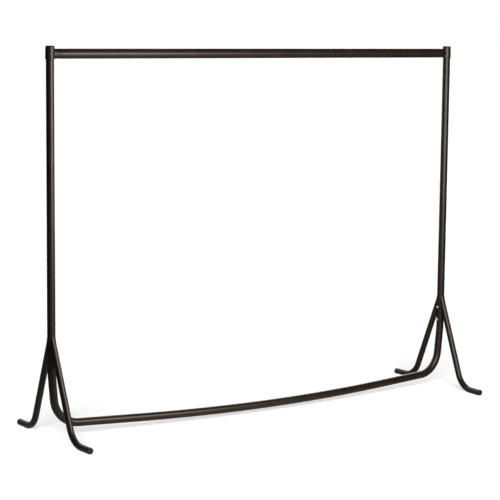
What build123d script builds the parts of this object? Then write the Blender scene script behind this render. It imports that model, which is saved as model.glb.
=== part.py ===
from build123d import *
import os
from math import atan2, hypot, radians, sqrt, tan

# Free-standing garment rail of round steel tube. X runs along the rail, the front faces -Y,
# +Z is up, and the origin is on the floor under the middle of the rail. Millimetres.
# Each end is built as the left one, about its upright's axis, and mirrored for the right.

# Tube stock: outside diameters and walls
RAIL_OD = 38.1
UPRIGHT_OD = 31.75
LEG_OD = 25.4
RAIL_WALL = 1.6
UPRIGHT_WALL = 1.6
LEG_WALL = 2.0

# Layout
UPRIGHT_SPACING = 1942.0
RAIL_HEIGHT = 1465.0
SEAM_HEIGHT = 434.0
SEAM_CHAMFER = 0.6

# Base tube: straight stubs, a slight lean inwards, corner bends, a bowed and dipping bar
LEAN_HEIGHT = 262.0
LEAN_RADIUS = 400.0
CORNER_INSET = 18.4
CORNER_HEIGHT = 58.5
CORNER_RADIUS = 105.0
BOW_FORWARD = 89.0
BOW_DROP = 30.8
BOW_HALF_LENGTH = 600.0

# Legs: one front and one back at each end, with a level foot
LEG_TILT = 22.2
LEG_TOE_IN = 0.032
LEG_START = 4.0
LEG_KNEE_Y = 160.0
ANKLE_RADIUS = 89.0
FOOT_END_Y = 284.0
WELD_LEG = 2.5
WELD_REACH = 130.0
PLUG_FLANGE = 2.5
PLUG_FLANGE_STEP = 0.2
PLUG_ROUND = 1.5
PLUG_DEPTH = 14.0

# Cast end fitting: a socket over the upright and a branch into the rail
SOCKET_BOTTOM = 1444.7
SOCKET_TOP = 1495.0
SOCKET_DEPTH = 40.3
SOCKET_FOOT_RADIUS = 18.6
SOCKET_HEAD_RADIUS = 17.3
SOCKET_CLEARANCE = 0.3
SOCKET_TOP_ROUND = 5.0
MOUTH_BEVEL = 1.2
BRANCH_LENGTH = 40.0
BRANCH_ROOT_HALF_WIDTH = 9.0
BRANCH_ROOT_HALF_HEIGHT = 17.8
BRANCH_FILLET = 6.5
RAIL_SPIGOT_LENGTH = 45.0
RAIL_SPIGOT_CLEARANCE = 0.05

# Joiner tube across the seam, held in the stub by two button-head bolts
JOINER_BOTTOM = 279.0
JOINER_TOP = 540.0
JOINER_WALL = 3.0
JOINER_CLEARANCE = 0.075
BOLT_HEIGHTS = (349.0, 293.0)
BOLT_RADIUS = 3.0
BOLT_LENGTH = 14.0
BOLT_HOLE_RADIUS = 3.3
HEAD_RADIUS = 5.25
HEAD_HEIGHT = 3.3
HEAD_ROUND = 2.3
HEX_KEY = 4.0
HEX_KEY_DEPTH = 2.0
WASHER_RADIUS = 6.0
WASHER_THICKNESS = 1.2
NUT_ACROSS_FLATS = 10.0
NUT_HEIGHT = 5.0
NUT_SEATING = 0.02

HALF_SPAN = UPRIGHT_SPACING / 2
UPRIGHT_RADIUS = UPRIGHT_OD / 2
LEG_RADIUS = LEG_OD / 2
RAIL_RADIUS = RAIL_OD / 2
UPRIGHT_TOP = SOCKET_BOTTOM + SOCKET_DEPTH - SOCKET_CLEARANCE
JOINER_RADIUS = UPRIGHT_RADIUS - UPRIGHT_WALL - JOINER_CLEARANCE
INWARD = Vector(1, 0, 0)


def tube(path, outside_diameter, wall):
    """A round tube along a path of straight runs and tangent arcs."""
    start = Plane(origin=path @ 0, z_dir=path % 0)
    ring = Circle(outside_diameter / 2) - Circle(outside_diameter / 2 - wall)
    return sweep(start * ring, path=path)


def post(radius, bottom, top):
    """A solid upright cylinder about the Z axis."""
    return Pos(0, 0, bottom) * Cylinder(radius, top - bottom, align=(Align.CENTER, Align.CENTER, Align.MIN))


def rod(radius, start, direction, length):
    """A solid cylinder from a point along a direction."""
    return Plane(origin=start, z_dir=direction) * Cylinder(
        radius, length, align=(Align.CENTER, Align.CENTER, Align.MIN)
    )


def cut_ends(shape, size, heights):
    """Chamfer the outer rims of an upright tube at the given heights."""
    rims = [
        edge
        for edge in shape.edges().filter_by(GeomType.CIRCLE)
        if abs(edge.radius - UPRIGHT_RADIUS) < 0.01
        and any(abs(edge.center().Z - height) < 0.01 for height in heights)
    ]
    return chamfer(rims, size)


def make_top_rail():
    """The hanging rail: a straight tube between the two end fittings."""
    half = HALF_SPAN - BRANCH_LENGTH
    rail = tube(Line((-half, 0, RAIL_HEIGHT), (half, 0, RAIL_HEIGHT)), RAIL_OD, RAIL_WALL)
    rims = [
        edge
        for edge in rail.edges().filter_by(GeomType.CIRCLE)
        if abs(edge.radius - RAIL_RADIUS) < 0.01
    ]
    return chamfer(rims, SEAM_CHAMFER)


def mouth_cutter():
    """What machining takes off round the socket's mouth, leaving a bevelled rim."""
    bevel = Pos(0, 0, SOCKET_BOTTOM) * Cone(
        SOCKET_FOOT_RADIUS - MOUTH_BEVEL,
        SOCKET_FOOT_RADIUS,
        MOUTH_BEVEL,
        align=(Align.CENTER, Align.CENTER, Align.MIN),
    )
    return post(BRANCH_LENGTH, SOCKET_BOTTOM, SOCKET_BOTTOM + MOUTH_BEVEL) - bevel


def make_branch():
    """The neck towards the rail: oval and narrow at the socket, round where the rail starts."""
    root = Plane(origin=(0, 0, RAIL_HEIGHT), x_dir=(0, 1, 0), z_dir=INWARD)
    end = root.offset(BRANCH_LENGTH)
    oval = root * Ellipse(BRANCH_ROOT_HALF_WIDTH, BRANCH_ROOT_HALF_HEIGHT)
    return loft([oval, end * Circle(RAIL_RADIUS)], ruled=True)


def make_end_fitting():
    """Casting with a blind socket for the upright and a waisted branch that plugs the rail."""
    height = SOCKET_TOP - SOCKET_BOTTOM
    socket = Pos(0, 0, SOCKET_BOTTOM) * Cone(
        SOCKET_FOOT_RADIUS, SOCKET_HEAD_RADIUS, height, align=(Align.CENTER, Align.CENTER, Align.MIN)
    )
    body = socket + make_branch()
    saddle = body.edges().filter_by(GeomType.BSPLINE).filter_by_position(Axis.X, 0, SOCKET_FOOT_RADIUS)
    body = fillet(saddle, BRANCH_FILLET)
    crown = body.faces().sort_by(Axis.Z)[-1].outer_wire().edges()
    body = fillet(crown, SOCKET_TOP_ROUND)
    body -= mouth_cutter()
    bore = post(UPRIGHT_RADIUS + SOCKET_CLEARANCE, SOCKET_BOTTOM, SOCKET_BOTTOM + SOCKET_DEPTH)
    spigot = rod(
        RAIL_RADIUS - RAIL_WALL - RAIL_SPIGOT_CLEARANCE,
        (BRANCH_LENGTH, 0, RAIL_HEIGHT),
        INWARD,
        RAIL_SPIGOT_LENGTH,
    )
    return body - bore + spigot


def make_upright():
    """Straight post from the seam on the base to the blind end of the socket."""
    upright = tube(Line((0, 0, SEAM_HEIGHT), (0, 0, UPRIGHT_TOP)), UPRIGHT_OD, UPRIGHT_WALL)
    return cut_ends(upright, SEAM_CHAMFER, (SEAM_HEIGHT, UPRIGHT_TOP))


def bolt_holes(radius):
    """Drillings for the bolts, from the axis out through the inward wall."""
    return [rod(radius, (0, 0, height), INWARD, UPRIGHT_OD) for height in BOLT_HEIGHTS]


def make_joiner():
    """Thick inner tube that lines up the upright and the stub."""
    joiner = post(JOINER_RADIUS, JOINER_BOTTOM, JOINER_TOP)
    joiner -= post(JOINER_RADIUS - JOINER_WALL, JOINER_BOTTOM, JOINER_TOP)
    return joiner - bolt_holes(BOLT_HOLE_RADIUS)


def make_bolts():
    """Button-head bolts, heads on the inward side of the stub."""
    seat = UPRIGHT_RADIUS + WASHER_THICKNESS
    bolts = []
    for height in BOLT_HEIGHTS:
        head = rod(HEAD_RADIUS, (seat, 0, height), INWARD, HEAD_HEIGHT)
        rim = head.edges().filter_by(GeomType.CIRCLE).sort_by(Axis.X)[-1]
        head = fillet(rim, HEAD_ROUND)
        top = Plane(origin=(seat + HEAD_HEIGHT, 0, height), z_dir=INWARD)
        key = extrude(top * RegularPolygon(HEX_KEY / 2, 6, major_radius=False), -HEX_KEY_DEPTH)
        shank = rod(BOLT_RADIUS, (seat - BOLT_LENGTH, 0, height), INWARD, BOLT_LENGTH)
        bolts.append(head - key + shank)
    return bolts


def make_washers():
    """Flat washers between the bolt heads and the stub."""
    washers = []
    for height in BOLT_HEIGHTS:
        start = (UPRIGHT_RADIUS, 0, height)
        disc = rod(WASHER_RADIUS, start, INWARD, WASHER_THICKNESS)
        washers.append(disc - rod(BOLT_HOLE_RADIUS, start, INWARD, WASHER_THICKNESS))
    return washers


def make_nuts():
    """Hexagonal weld nuts on the joiner's inner wall."""
    inner = JOINER_RADIUS - JOINER_WALL
    seat = sqrt(inner**2 - (NUT_ACROSS_FLATS / 2) ** 2) - NUT_SEATING
    nuts = []
    for height in BOLT_HEIGHTS:
        face = Plane(origin=(seat, 0, height), x_dir=(0, 0, 1), z_dir=(-1, 0, 0))
        outline = RegularPolygon(NUT_ACROSS_FLATS / 2, 6, major_radius=False) - Circle(BOLT_RADIUS)
        nuts.append(extrude(face * outline, NUT_HEIGHT))
    return nuts


def make_base_tube():
    """One bent tube: both stubs, both corners and the low bar between them."""
    corner_x = HALF_SPAN - CORNER_INSET
    rise = hypot(BOW_FORWARD, BOW_DROP)
    bow_radius = BOW_HALF_LENGTH / tan(atan2(rise, corner_x))
    left = [
        (-HALF_SPAN, 0, SEAM_HEIGHT),
        (-HALF_SPAN, 0, LEAN_HEIGHT),
        (-corner_x, 0, CORNER_HEIGHT),
    ]
    middle = (0, -BOW_FORWARD, CORNER_HEIGHT - BOW_DROP)
    right = [(-x, y, z) for x, y, z in reversed(left)]
    radii = [LEAN_RADIUS, CORNER_RADIUS, bow_radius, CORNER_RADIUS, LEAN_RADIUS]
    base = tube(FilletPolyline(left + [middle] + right, radius=radii), UPRIGHT_OD, UPRIGHT_WALL)
    base = cut_ends(base, SEAM_CHAMFER, (SEAM_HEIGHT,))
    left_holes = [Pos(-HALF_SPAN, 0, 0) * hole for hole in bolt_holes(BOLT_HOLE_RADIUS)]
    right_holes = [mirror(hole, about=Plane.YZ) for hole in left_holes]
    return base - left_holes - right_holes


def leg_point(side_y, reach, height):
    """A point of a leg's centreline at a reach in front of or behind the upright."""
    return Vector(LEG_TOE_IN * reach, side_y * reach, height)


def leg_root_height():
    """Height at which a leg's centreline would meet the upright's."""
    return LEG_RADIUS + LEG_KNEE_Y / tan(radians(LEG_TILT))


def leg_direction(side_y):
    """Unit vector down a leg, away from the stub."""
    root = leg_point(side_y, 0, leg_root_height())
    return (leg_point(side_y, LEG_KNEE_Y, LEG_RADIUS) - root).normalized()


def leg_top(side_y):
    """Top of a leg's centreline, just inside the stub, before the leg is coped."""
    return leg_point(side_y, 0, leg_root_height()) + leg_direction(side_y) * LEG_START


def leg_core(side_y, radius):
    """The straight upper part of a leg as a solid rod of the given radius."""
    return rod(radius, leg_top(side_y), leg_direction(side_y), WELD_REACH)


def make_leg(side_y):
    """Leg and foot in one bent tube, coped to the stub."""
    knee = leg_point(side_y, LEG_KNEE_Y, LEG_RADIUS)
    end = leg_point(side_y, FOOT_END_Y - PLUG_FLANGE, LEG_RADIUS)
    leg = tube(FilletPolyline(leg_top(side_y), knee, end, radius=ANKLE_RADIUS), LEG_OD, LEG_WALL)
    return leg - post(UPRIGHT_RADIUS, JOINER_BOTTOM, SEAM_HEIGHT)


def make_leg_weld(side_y):
    """Bead round the leg's coped end, within one weld leg of both tubes."""
    bead = leg_core(side_y, LEG_RADIUS + WELD_LEG)
    bead &= post(UPRIGHT_RADIUS + WELD_LEG, JOINER_BOTTOM, SEAM_HEIGHT)
    bead -= leg_core(side_y, LEG_RADIUS)
    return bead - post(UPRIGHT_RADIUS, JOINER_BOTTOM, SEAM_HEIGHT)


def make_foot_plug(side_y):
    """Round-edged plug in the open end of a foot."""
    end = leg_point(side_y, FOOT_END_Y - PLUG_FLANGE, LEG_RADIUS)
    outward = (end - leg_point(side_y, LEG_KNEE_Y, LEG_RADIUS)).normalized()
    flange = rod(LEG_RADIUS - PLUG_FLANGE_STEP, end, outward, PLUG_FLANGE)
    rim = flange.edges().filter_by(GeomType.CIRCLE).sort_by_distance(end + outward * LEG_OD)[0]
    flange = fillet(rim, PLUG_ROUND)
    return flange + rod(LEG_RADIUS - LEG_WALL, end, outward * -1, PLUG_DEPTH)


def solids_of(shapes):
    """Every solid in a shape or in a list of shapes."""
    if not isinstance(shapes, list):
        shapes = [shapes]
    return [solid for shape in shapes for solid in shape.solids()]


def write(name, solids):
    """One STEP file for one node."""
    if len(solids) == 1:
        shape = solids[0]
    else:
        shape = Compound(children=solids)
    shape.label = name
    export_step(shape, f"parts/{name}.step")


def write_pair(name, shapes):
    """The left piece in its place, and its mirror image on the right."""
    placed = [Pos(-HALF_SPAN, 0, 0) * solid for solid in solids_of(shapes)]
    write(f"{name}_left", placed)
    write(f"{name}_right", [mirror(solid, about=Plane.YZ) for solid in placed])


def main():
    os.makedirs("parts", exist_ok=True)
    write("top_rail", solids_of(make_top_rail()))
    write("base_tube", solids_of(make_base_tube()))
    write_pair("end_fitting", make_end_fitting())
    write_pair("upright", make_upright())
    write_pair("joiner_tube", make_joiner())
    write_pair("clamp_bolts", make_bolts())
    write_pair("clamp_washers", make_washers())
    write_pair("weld_nuts", make_nuts())
    for place, side_y in (("front", -1), ("back", 1)):
        write_pair(f"leg_{place}", make_leg(side_y))
        write_pair(f"leg_weld_{place}", make_leg_weld(side_y))
        write_pair(f"foot_plug_{place}", make_foot_plug(side_y))


main()
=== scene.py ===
from math import cos, pi, radians, sin, sqrt

import bmesh
import bpy
import numpy as np
from mathutils import Matrix, Vector


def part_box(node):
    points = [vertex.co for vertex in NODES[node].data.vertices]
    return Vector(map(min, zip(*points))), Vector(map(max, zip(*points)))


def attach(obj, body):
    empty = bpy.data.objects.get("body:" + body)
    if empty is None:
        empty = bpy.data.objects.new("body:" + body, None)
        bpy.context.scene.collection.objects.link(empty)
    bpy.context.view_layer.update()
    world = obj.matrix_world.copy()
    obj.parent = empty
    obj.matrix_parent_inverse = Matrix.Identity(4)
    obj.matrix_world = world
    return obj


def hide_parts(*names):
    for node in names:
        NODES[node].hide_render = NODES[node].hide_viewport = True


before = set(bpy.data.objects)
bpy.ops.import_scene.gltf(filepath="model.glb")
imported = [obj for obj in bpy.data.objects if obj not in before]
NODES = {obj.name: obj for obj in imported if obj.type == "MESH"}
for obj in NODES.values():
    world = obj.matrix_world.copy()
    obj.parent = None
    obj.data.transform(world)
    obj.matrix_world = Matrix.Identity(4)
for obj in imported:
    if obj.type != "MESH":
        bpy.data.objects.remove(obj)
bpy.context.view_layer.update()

# Straight garment rail of dark bronze tube.
# Metres, in the CAD's frame: X along the rail, front -Y, Z up.

STAND = "stand"
SIDES = ("left", "right")
PLACES = ("front", "back")

# Camera: where it stands, its heading from +Y towards +X, its downward tilt and its roll
CAMERA_PLACE = (-4.0232, -5.7187, 1.5783)
CAMERA_HEADING = 0.6062
CAMERA_TILT = 0.1298
CAMERA_ROLL = 0.0102
CAMERA_LENS = 124.15
SENSOR_WIDTH = 36.0

# Coat colours, linear
BRONZE_DEEP = (0.0150, 0.0105, 0.0080, 1)
BRONZE_LIGHT = (0.0235, 0.0168, 0.0130, 1)
BRONZE_SHEEN = (1.0, 0.90, 0.81, 1)
BRONZE_POLISHED = (0.060, 0.045, 0.036, 1)
FLOOR_DUST = (0.075, 0.066, 0.058, 1)
PLASTIC_DARK = (0.016, 0.0125, 0.0105, 1)
PLASTIC_DUSTY = (0.036, 0.030, 0.026, 1)

# Steel finishes: bright and dull colours, range of roughness, and the tool lines' scale along X
BOLT_ZINC = ((0.92, 0.91, 0.89, 1), (0.80, 0.79, 0.76, 1), (0.38, 0.50), 1500.0)
WASHER_ZINC = ((0.66, 0.65, 0.62, 1), (0.52, 0.51, 0.49, 1), (0.30, 0.42), 1500.0)
BARE_STEEL = ((0.40, 0.39, 0.37, 1), (0.27, 0.26, 0.25, 1), (0.34, 0.50), 40.0)

# Weld beads: slim over a leg's top and full in the crotch. The standoff is from each tube's surface
# to the middle of the bead. A leg's long edges are those over LONG_EDGE_SHARE of its longest one.
BEAD_RADIUS_TOP = 0.0012
BEAD_RADIUS_CROTCH = 0.0030
BEAD_STANDOFF = 0.0002
BEAD_RIPPLE_PITCH = 0.0021
BEAD_RIPPLE_DEPTH = 0.00024
BEAD_RING_STEP = 0.00035
BEAD_RING_POINTS = 14
BEAD_PATH_POINTS = 2400
LONG_EDGE_SHARE = 0.7

# Lights and floor
FLOOR_RADIUS = 120.0
FLOOR_LEVEL = -0.0002
FLOOR_SEEN = (0.97, 0.97, 0.97, 1)
# The floor colour that the tubes see is a painted pool of light: brightest within BOUNCE_NEAR of
# BOUNCE_CENTRE, fading to near black by BOUNCE_FAR
FLOOR_PAINTED_POOL_NEAR = (0.39, 0.36, 0.33, 1)
FLOOR_PAINTED_POOL_FAR = (0.01, 0.01, 0.01, 1)
BOUNCE_CENTRE = (-0.3, -0.6, 0.0)
BOUNCE_NEAR = 0.6
BOUNCE_FAR = 2.2
FLOOR_LIGHT_STRENGTH = 6.4
FLOOR_LIGHT_SPREAD = 44.0
FLOOR_LIGHT_TILT = 74.0
FLOOR_FILL_STRENGTH = 1.7
WORLD_SEEN = (1.0, 1.0, 1.0, 1)
WORLD_BOUNCE = (0.004, 0.004, 0.004, 1)

# Softboxes: name, place, target, size, watts and colour
KEY_COLOUR = (1.0, 0.975, 0.95)
FILL_COLOUR = (1.0, 0.98, 0.96)
SOFTBOXES = (
    ("key_front", (-0.06, -1.95, 1.35), (-0.06, 0.0, 1.15), (1.9, 1.6), 62.0, KEY_COLOUR),
    ("fill_back", (0.0, 2.3, 1.3), (0.0, 0.0, 0.9), (3.0, 1.8), 14.0, FILL_COLOUR),
    ("fill_right", (2.6, 2.2, 1.1), (0.9, 0.0, 0.8), (1.8, 1.6), 34.0, FILL_COLOUR),
    ("fill_top", (0.0, 2.2, 2.8), (0.0, 0.0, 0.6), (2.6, 0.8), 12.0, FILL_COLOUR),
)


# ---------------------------------------------------------------- node helpers


def new_material(name):
    """A material with its node tree, its links and its shader."""
    material = bpy.data.materials.new(name)
    material.use_nodes = True
    tree = material.node_tree
    return material, tree, tree.nodes["Principled BSDF"]


def coordinates(tree):
    """Places on the part in metres, which stay with it when it moves."""
    return tree.nodes.new("ShaderNodeTexCoord")


def noise(tree, vector, scale, detail=2.0, roughness=0.5):
    """Noise with features of about 1/scale metres."""
    node = tree.nodes.new("ShaderNodeTexNoise")
    node.inputs["Scale"].default_value = scale
    node.inputs["Detail"].default_value = detail
    node.inputs["Roughness"].default_value = roughness
    tree.links.new(vector, node.inputs["Vector"])
    return node.outputs["Fac"]


def cells(tree, vector, scale):
    """A random value in each cell of about 1/scale metres."""
    node = tree.nodes.new("ShaderNodeTexVoronoi")
    node.inputs["Scale"].default_value = scale
    tree.links.new(vector, node.inputs["Vector"])
    return node.outputs["Color"]


def stretched(tree, vector, scale):
    """The same places, scaled along each axis."""
    node = tree.nodes.new("ShaderNodeMapping")
    node.inputs["Scale"].default_value = scale
    tree.links.new(vector, node.inputs["Vector"])
    return node.outputs["Vector"]


def remap(tree, value, low, high, to_low=0.0, to_high=1.0):
    """A value taken from one range to another, and held at its ends."""
    node = tree.nodes.new("ShaderNodeMapRange")
    node.inputs["From Min"].default_value = low
    node.inputs["From Max"].default_value = high
    node.inputs["To Min"].default_value = to_low
    node.inputs["To Max"].default_value = to_high
    tree.links.new(value, node.inputs["Value"])
    return node.outputs["Result"]


def times(tree, a, b):
    """The product of two values."""
    node = tree.nodes.new("ShaderNodeMath")
    node.operation = "MULTIPLY"
    tree.links.new(a, node.inputs[0])
    tree.links.new(b, node.inputs[1])
    return node.outputs["Value"]


def mixed(tree, factor, a, b):
    """Colour a, turning to b as the factor goes to 1. Either may be a colour or a socket."""
    node = tree.nodes.new("ShaderNodeMix")
    node.data_type = "RGBA"
    tree.links.new(factor, node.inputs["Factor"])
    for socket, colour in ((node.inputs["A"], a), (node.inputs["B"], b)):
        if isinstance(colour, bpy.types.NodeSocket):
            tree.links.new(colour, socket)
        else:
            socket.default_value = colour
    return node.outputs["Result"]


def blended(tree, factor, a, b):
    """Value a, turning to b as the factor goes to 1."""
    node = tree.nodes.new("ShaderNodeMix")
    node.data_type = "FLOAT"
    tree.links.new(factor, node.inputs["Factor"])
    tree.links.new(a, node.inputs["A"])
    tree.links.new(b, node.inputs["B"])
    return node.outputs["Result"]


def bump(tree, height, distance, strength=1.0, under=None):
    """A bumped normal, on top of another one if given."""
    node = tree.nodes.new("ShaderNodeBump")
    node.inputs["Distance"].default_value = distance
    node.inputs["Strength"].default_value = strength
    tree.links.new(height, node.inputs["Height"])
    if under is not None:
        tree.links.new(under, node.inputs["Normal"])
    return node.outputs["Normal"]


def part_of(tree, vector, axis):
    """One coordinate of a vector."""
    node = tree.nodes.new("ShaderNodeSeparateXYZ")
    tree.links.new(vector, node.inputs["Vector"])
    return node.outputs[axis]


# ---------------------------------------------------------------- materials


def powder_coat(name, grit=1.0, hanger_rub=False, floor_scuff=False):
    """Satin bronze powder coat: mottled brown, fine flakes, orange peel, and wear where it is used."""
    material, tree, shader = new_material(name)
    where = coordinates(tree)
    place = where.outputs["Object"]

    mottle = remap(tree, noise(tree, place, 14.0, 4.0), 0.36, 0.64)
    colour = mixed(tree, mottle, BRONZE_DEEP, BRONZE_LIGHT)
    flake = remap(tree, part_of(tree, cells(tree, place, 2600.0), "X"), 0.80, 1.0)
    flake_strength = times(tree, flake, remap(tree, noise(tree, place, 300.0), 0.3, 0.7, 0.1, 0.45))
    colour = mixed(tree, flake_strength, colour, BRONZE_POLISHED)
    roughness = remap(tree, noise(tree, place, 55.0, 3.0), 0.3, 0.7, 0.32, 0.39)

    if hanger_rub:
        up = remap(tree, part_of(tree, where.outputs["Normal"], "Z"), 0.72, 0.98)
        across_rail = stretched(tree, place, (160.0, 14.0, 14.0))
        streaks = remap(tree, noise(tree, across_rail, 1.0, 5.0), 0.42, 0.66)
        rub = times(tree, up, streaks)
        colour = mixed(tree, remap(tree, rub, 0.0, 1.0, 0.0, 0.35), colour, BRONZE_POLISHED)
        polished = remap(tree, noise(tree, place, 90.0), 0.3, 0.7, 0.30, 0.34)
        roughness = blended(tree, rub, roughness, polished)

    if floor_scuff:
        low = remap(tree, part_of(tree, place, "Z"), 0.0015, 0.007, 1.0, 0.0)
        patches = remap(tree, noise(tree, place, 120.0, 4.0), 0.40, 0.62)
        scuff = times(tree, low, patches)
        colour = mixed(tree, remap(tree, scuff, 0.0, 1.0, 0.0, 0.6), colour, FLOOR_DUST)
        dull = remap(tree, noise(tree, place, 200.0), 0.3, 0.7, 0.55, 0.70)
        roughness = blended(tree, scuff, roughness, dull)

    peel = noise(tree, place, 520.0, 2.0)
    grain = noise(tree, place, 2300.0, 2.0)
    normal = bump(tree, peel, 0.00010 * grit, 0.35)
    normal = bump(tree, grain, 0.00003 * grit, 0.45, under=normal)

    tree.links.new(colour, shader.inputs["Base Color"])
    tree.links.new(roughness, shader.inputs["Roughness"])
    tree.links.new(normal, shader.inputs["Normal"])
    shader.inputs["IOR"].default_value = 1.5
    shader.inputs["Specular Tint"].default_value = BRONZE_SHEEN
    return material


def plated_steel(name, bright, dull, roughness_range, lines_scale):
    """Steel with fine tool lines and slight clouding in its plating or oil."""
    material, tree, shader = new_material(name)
    place = coordinates(tree).outputs["Object"]
    cloud = remap(tree, noise(tree, place, 380.0, 3.0), 0.32, 0.68)
    colour = mixed(tree, cloud, bright, dull)
    lines = noise(tree, stretched(tree, place, (lines_scale, 260.0, 260.0)), 1.0, 3.0)
    roughness = remap(tree, lines, 0.3, 0.7, *roughness_range)
    normal = bump(tree, lines, 0.00002, 0.4)
    tree.links.new(colour, shader.inputs["Base Color"])
    tree.links.new(roughness, shader.inputs["Roughness"])
    tree.links.new(normal, shader.inputs["Normal"])
    shader.inputs["Metallic"].default_value = 1.0
    return material


def moulded_plastic(name):
    """Dark plastic with a fine spark-eroded texture and dust in random patches."""
    material, tree, shader = new_material(name)
    place = coordinates(tree).outputs["Object"]
    texture = noise(tree, place, 1600.0, 3.0)
    dust = remap(tree, noise(tree, place, 160.0, 3.0), 0.45, 0.75, 0.0, 0.4)
    colour = mixed(tree, dust, PLASTIC_DARK, PLASTIC_DUSTY)
    tree.links.new(colour, shader.inputs["Base Color"])
    tree.links.new(remap(tree, texture, 0.3, 0.7, 0.44, 0.58), shader.inputs["Roughness"])
    tree.links.new(bump(tree, texture, 0.00006, 0.5), shader.inputs["Normal"])
    return material


def give(node, material):
    """Puts a material on every face of a CAD node."""
    slots = NODES[node].data.materials
    slots.clear()
    slots.append(material)


rail_coat = powder_coat("rail_coat_satin", hanger_rub=True)
fitting_coat = powder_coat("fitting_coat_satin", grit=1.8)
tube_coat = powder_coat("tube_coat_satin")
base_coat = powder_coat("base_coat_satin", floor_scuff=True)
weld_coat = powder_coat("weld_coat_satin", grit=1.4)
bolt_zinc = plated_steel("bolt_zinc_bright", *BOLT_ZINC)
washer_zinc = plated_steel("washer_zinc_bright", *WASHER_ZINC)
bare_steel = plated_steel("bare_steel_oiled", *BARE_STEEL)
plug_plastic = moulded_plastic("plug_plastic_dark")

give("top_rail", rail_coat)
give("base_tube", base_coat)
for side in SIDES:
    give(f"end_fitting_{side}", fitting_coat)
    give(f"upright_{side}", tube_coat)
    give(f"joiner_tube_{side}", bare_steel)
    give(f"weld_nuts_{side}", bare_steel)
    give(f"clamp_bolts_{side}", bolt_zinc)
    give(f"clamp_washers_{side}", washer_zinc)
    for place in PLACES:
        give(f"leg_{place}_{side}", base_coat)
        give(f"leg_weld_{place}_{side}", weld_coat)
        give(f"foot_plug_{place}_{side}", plug_plastic)


# ---------------------------------------------------------------- weld beads


def tube_axis(node):
    """A point on a leg's straight axis, its direction pointing up, and its outer radius.

    They come from the mesh's longest edges, which run along the straight part of the leg.
    """
    mesh = NODES[node].data
    points = np.array([vertex.co for vertex in mesh.vertices])
    ends = np.array([edge.vertices for edge in mesh.edges])
    spans = points[ends[:, 0]] - points[ends[:, 1]]
    lengths = np.linalg.norm(spans, axis=1)
    long_edges = lengths > LONG_EDGE_SHARE * lengths.max()
    lower = np.array([a if points[a][2] < points[b][2] else b for a, b in ends[long_edges]])
    upward = spans[long_edges] * np.sign(spans[long_edges][:, 2:3])
    direction = upward.sum(axis=0)
    direction /= np.linalg.norm(direction)
    ring = points[np.unique(lower)]
    middle = (ring.min(axis=0) + ring.max(axis=0)) / 2
    offsets = ring - middle
    offsets -= np.outer(offsets @ direction, direction)
    return middle, direction, np.linalg.norm(offsets, axis=1).max()


def bead_path(leg, stub_x, stub_radius):
    """Closed line at one standoff from both tubes, all round the leg's coped end."""
    point, direction, leg_radius = tube_axis(leg)
    across = np.cross(direction, (0.0, 0.0, 1.0))
    across /= np.linalg.norm(across)
    outward = np.cross(across, direction)
    reach = leg_radius + BEAD_STANDOFF
    clear = stub_radius + BEAD_STANDOFF
    path = []
    for angle in np.linspace(0.0, 2 * pi, BEAD_PATH_POINTS, endpoint=False):
        start = point + reach * (cos(angle) * across + sin(angle) * outward)
        x, y = start[0] - stub_x, start[1]
        dx, dy = direction[0], direction[1]
        a = dx * dx + dy * dy
        b = x * dx + y * dy
        c = x * x + y * y - clear * clear
        travel = (-b - sqrt(b * b - a * c)) / a
        path.append(start + travel * direction)
    return np.array(path)


def evenly(path, step):
    """A closed line's points again, at even steps, with the distance gone at each."""
    closed = np.vstack([path, path[:1]])
    gone = np.concatenate([[0.0], np.cumsum(np.linalg.norm(np.diff(closed, axis=0), axis=1))])
    count = int(round(gone[-1] / step))
    at = np.linspace(0.0, gone[-1], count, endpoint=False)
    return np.stack([np.interp(at, gone, closed[:, k]) for k in range(3)], axis=1), at, gone[-1]


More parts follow.
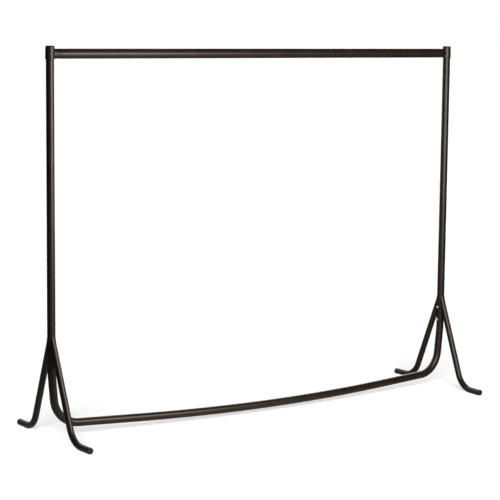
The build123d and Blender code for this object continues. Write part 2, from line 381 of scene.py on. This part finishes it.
def weld_bead(name, leg, stub):
    """A rippled bead swept along the joint between a leg and its stub."""
    low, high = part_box(stub)
    stub_x = (low.x + high.x) / 2
    path, at, length = evenly(bead_path(leg, stub_x, (high.x - low.x) / 2), BEAD_RING_STEP)
    ripples = round(length / BEAD_RIPPLE_PITCH)
    tangents = np.roll(path, -1, axis=0) - np.roll(path, 1, axis=0)
    tangents /= np.linalg.norm(tangents, axis=1)[:, None]
    radials = path - np.array([stub_x, 0.0, 0.0])
    radials[:, 2] = 0.0
    radials -= (radials * tangents).sum(axis=1)[:, None] * tangents
    radials /= np.linalg.norm(radials, axis=1)[:, None]
    sideways = np.cross(tangents, radials)
    turns = np.linspace(0.0, 2 * pi, BEAD_RING_POINTS, endpoint=False)
    wander = 0.06 * np.sin(2 * pi * at / length * 7) + 0.04 * np.sin(2 * pi * at / length * 17 + 1.0)
    phase = ripples * at / length
    lens = 1.0 - (2.0 * (phase % 1.0) - 1.0) ** 2
    heights = path[:, 2]
    rise = (heights - heights.min()) / (heights.max() - heights.min())
    radius = BEAD_RADIUS_CROTCH + (BEAD_RADIUS_TOP - BEAD_RADIUS_CROTCH) * rise
    rows = []
    for turn in turns:
        swell = radius * (1 + wander) + BEAD_RIPPLE_DEPTH * (lens - 0.5)
        lag = 0.5 * BEAD_RIPPLE_PITCH * cos(turn) ** 2
        rows.append(
            path
            + (swell * cos(turn))[:, None] * radials
            + (swell * sin(turn))[:, None] * sideways
            + lag * tangents
        )
    vertices = np.stack(rows, axis=1)
    count = len(path)
    mesh = bpy.data.meshes.new(name)
    faces = []
    for i in range(count):
        j = (i + 1) % count
        for k in range(BEAD_RING_POINTS):
            m = (k + 1) % BEAD_RING_POINTS
            faces.append(
                (
                    i * BEAD_RING_POINTS + k,
                    i * BEAD_RING_POINTS + m,
                    j * BEAD_RING_POINTS + m,
                    j * BEAD_RING_POINTS + k,
                )
            )
    mesh.from_pydata(vertices.reshape(-1, 3).tolist(), [], faces)
    shape = bmesh.new()
    shape.from_mesh(mesh)
    bmesh.ops.recalc_face_normals(shape, faces=shape.faces)
    shape.to_mesh(mesh)
    shape.free()
    mesh.polygons.foreach_set("use_smooth", [True] * len(mesh.polygons))
    mesh.materials.append(weld_coat)
    bead = bpy.data.objects.new(name, mesh)
    bpy.context.scene.collection.objects.link(bead)
    return bead


for side in SIDES:
    for place in PLACES:
        bead = weld_bead(f"weld_bead_{place}_{side}", f"leg_{place}_{side}", f"upright_{side}")
        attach(bead, STAND)
        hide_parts(f"leg_weld_{place}_{side}")


# ---------------------------------------------------------------- floor, lights and camera


def make_floor():
    """A wide pale floor. It looks white, and bounces less light than that onto the tubes, through a
    painted pool of light that fades to dark away from the rack.
    """
    mesh = bpy.data.meshes.new("floor")
    shape = bmesh.new()
    bmesh.ops.create_circle(shape, cap_ends=True, radius=FLOOR_RADIUS, segments=96)
    shape.to_mesh(mesh)
    shape.free()
    floor = bpy.data.objects.new("floor", mesh)
    floor.location.z = FLOOR_LEVEL
    bpy.context.scene.collection.objects.link(floor)
    material, tree, shader = new_material("floor_pale")
    ray = tree.nodes.new("ShaderNodeLightPath")
    offset = tree.nodes.new("ShaderNodeVectorMath")
    offset.operation = "DISTANCE"
    offset.inputs[1].default_value = BOUNCE_CENTRE
    tree.links.new(coordinates(tree).outputs["Object"], offset.inputs[0])
    # Painted pool of light, seen only by the tubes: the floor's colour is bright near the rack and
    # dark further out
    far = remap(tree, offset.outputs["Value"], BOUNCE_NEAR, BOUNCE_FAR)
    painted_pool = mixed(tree, far, FLOOR_PAINTED_POOL_NEAR, FLOOR_PAINTED_POOL_FAR)
    colour = mixed(tree, ray.outputs["Is Camera Ray"], painted_pool, FLOOR_SEEN)
    tree.links.new(colour, shader.inputs["Base Color"])
    shader.inputs["Roughness"].default_value = 0.9
    shader.inputs["Specular IOR Level"].default_value = 0.0
    mesh.materials.append(material)
    return floor


def receivers(name, objects):
    """A collection of what one light falls on."""
    collection = bpy.data.collections.new(name)
    for item in objects:
        collection.objects.link(item)
    return collection


def area_light(name, place, target, size, watts, colour, lit):
    """A softbox at a place, facing a target, that falls on the given collection."""
    data = bpy.data.lights.new(name, "AREA")
    data.shape = "RECTANGLE"
    data.size, data.size_y = size
    data.energy = watts
    data.color = colour
    light = bpy.data.objects.new(name, data)
    bpy.context.scene.collection.objects.link(light)
    light.location = place
    light.rotation_euler = (Vector(target) - Vector(place)).to_track_quat("-Z", "Y").to_euler()
    light.visible_camera = False
    light.light_linking.receiver_collection = lit


def sun_light(name, strength, lit):
    """A distant light, pointing down, that falls on the given collection."""
    light = bpy.data.objects.new(name, bpy.data.lights.new(name, "SUN"))
    light.data.energy = strength
    light.light_linking.receiver_collection = lit
    bpy.context.scene.collection.objects.link(light)
    return light


floor = make_floor()
rack_parts = [item for item in bpy.data.objects if item.type == "MESH" and item is not floor]
on_rack = receivers("lit_by_softboxes", rack_parts)
on_floor = receivers("lit_by_suns", [floor])

for name, place, target, size, watts, colour in SOFTBOXES:
    area_light(name, place, target, size, watts, colour, on_rack)

# Low light from the front lays the bar's shadow close behind it, and the fill keeps that shadow pale
low = sun_light("floor_low", FLOOR_LIGHT_STRENGTH, on_floor)
low.data.angle = radians(FLOOR_LIGHT_SPREAD)
low.rotation_euler = (radians(FLOOR_LIGHT_TILT), 0.0, -CAMERA_HEADING)
fill = sun_light("floor_fill", FLOOR_FILL_STRENGTH, on_floor)
fill.data.use_shadow = False

world = bpy.data.worlds.new("studio")
bpy.context.scene.world = world
world.use_nodes = True
world_tree = world.node_tree
backdrop = world_tree.nodes["Background"]
world_ray = world_tree.nodes.new("ShaderNodeLightPath")
seen = mixed(world_tree, world_ray.outputs["Is Camera Ray"], WORLD_BOUNCE, WORLD_SEEN)
world_tree.links.new(seen, backdrop.inputs["Color"])

camera = bpy.data.objects.new("camera", bpy.data.cameras.new("camera"))
camera.data.lens = CAMERA_LENS
camera.data.sensor_width = SENSOR_WIDTH
turn = Matrix.Rotation(-CAMERA_HEADING, 4, "Z") @ Matrix.Rotation(pi / 2 - CAMERA_TILT, 4, "X")
camera.matrix_world = Matrix.Translation(CAMERA_PLACE) @ turn @ Matrix.Rotation(CAMERA_ROLL, 4, "Z")
bpy.context.scene.collection.objects.link(camera)
bpy.context.scene.camera = camera
bpy.context.scene.view_settings.view_transform = "Standard"
